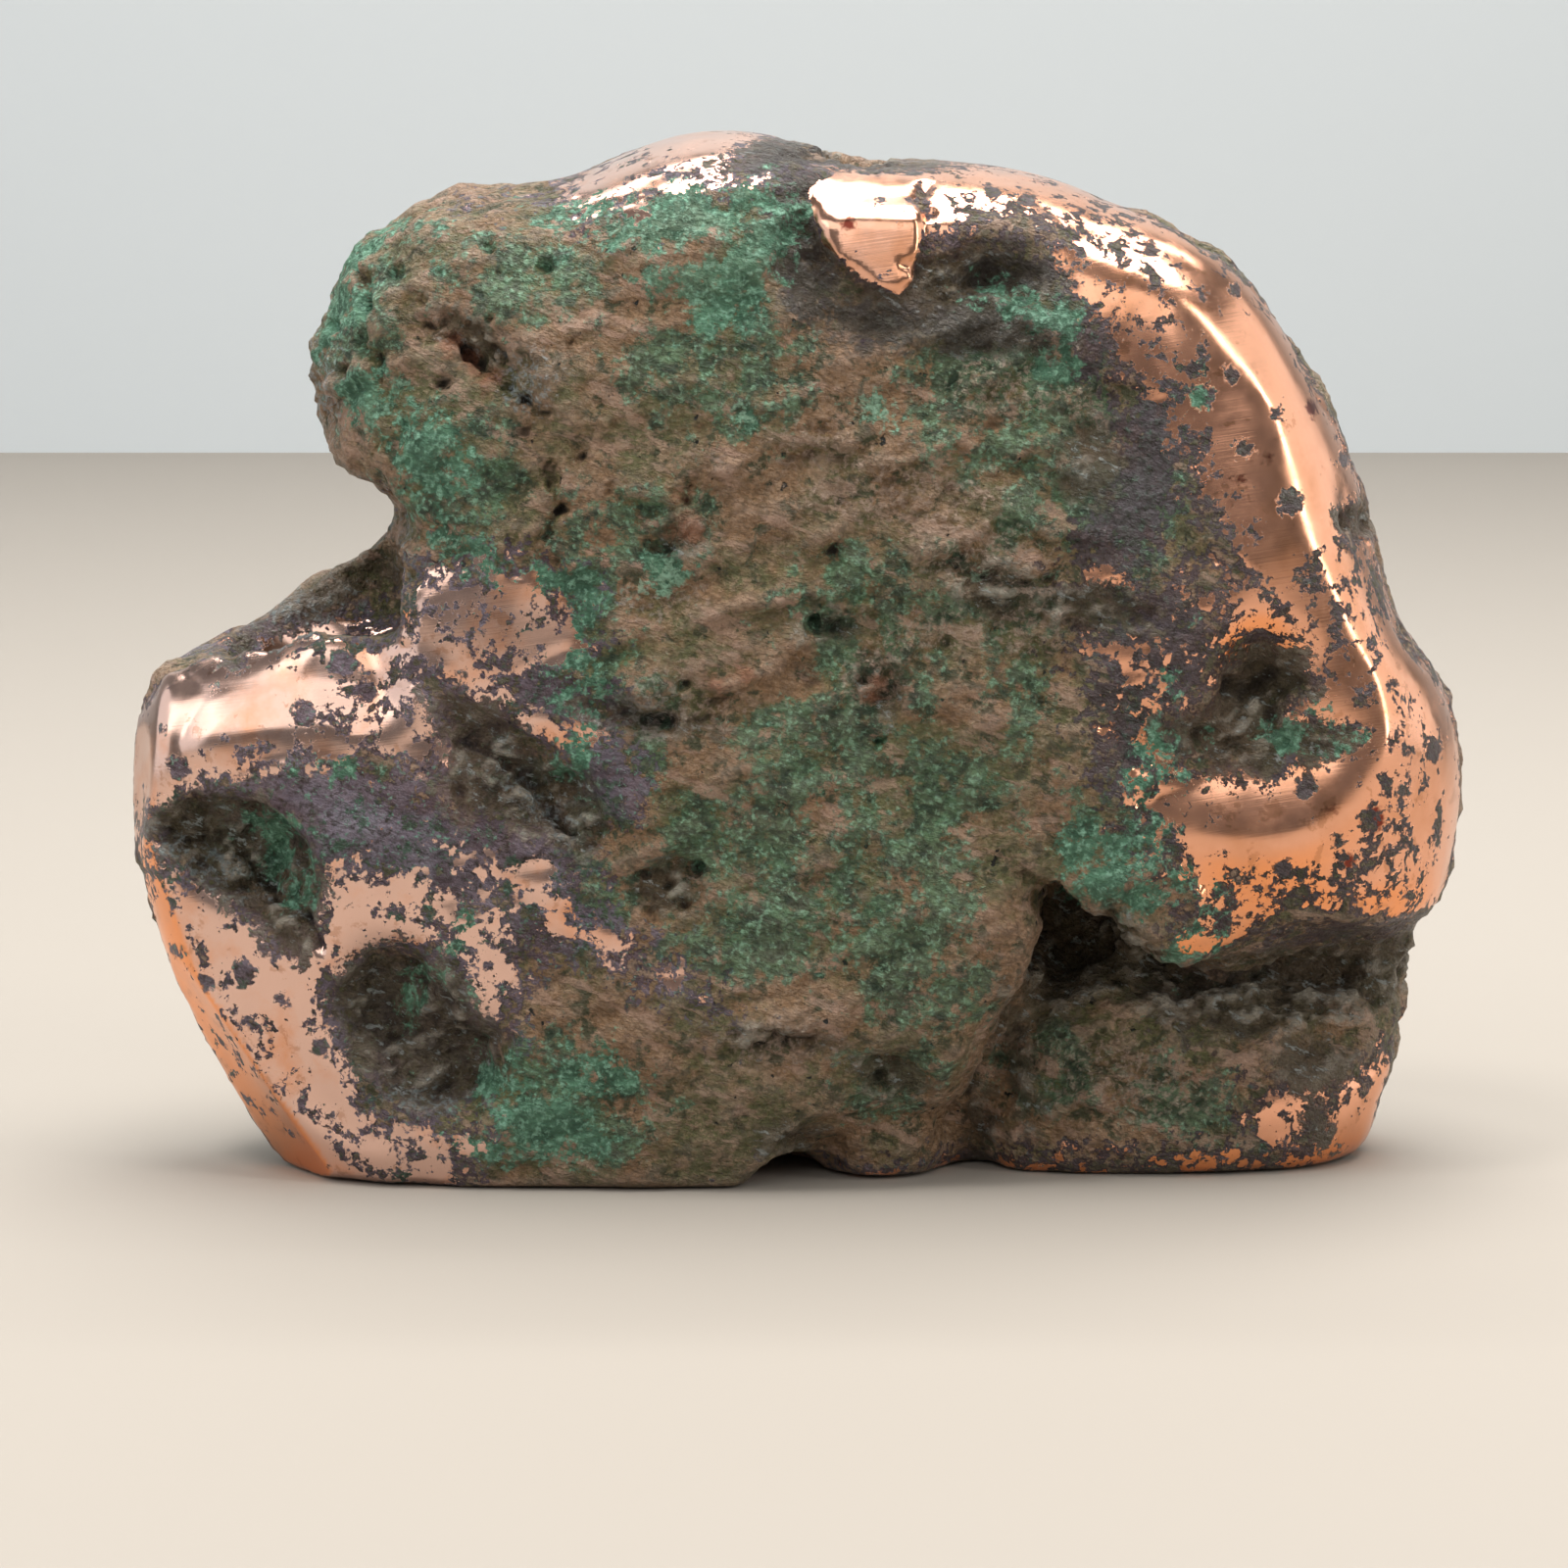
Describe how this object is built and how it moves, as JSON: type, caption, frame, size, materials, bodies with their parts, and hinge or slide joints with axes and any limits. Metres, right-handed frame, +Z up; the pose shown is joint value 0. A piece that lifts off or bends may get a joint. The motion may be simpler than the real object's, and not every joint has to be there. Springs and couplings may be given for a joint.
{
  "type": "native copper nugget",
  "caption": "Free-standing nugget of native copper with a flat-ground foot, a polished rim and shoulder, a deep notch on the left and a crack at the lower right.",
  "frame": {"origin": "on the floor, under the middle of the nugget's bounding box", "axes": "+Z up, +X to the right seen from the front, -Y out of the front face"},
  "size_m": [0.151, 0.0536, 0.1164],
  "materials": {
    "copper": "native copper: brown and green patina over most of it, bare polished copper on the ground rim and shoulder"
  },
  "bodies": {
    "root": {"nugget": "copper"}
  },
  "joints": []
}
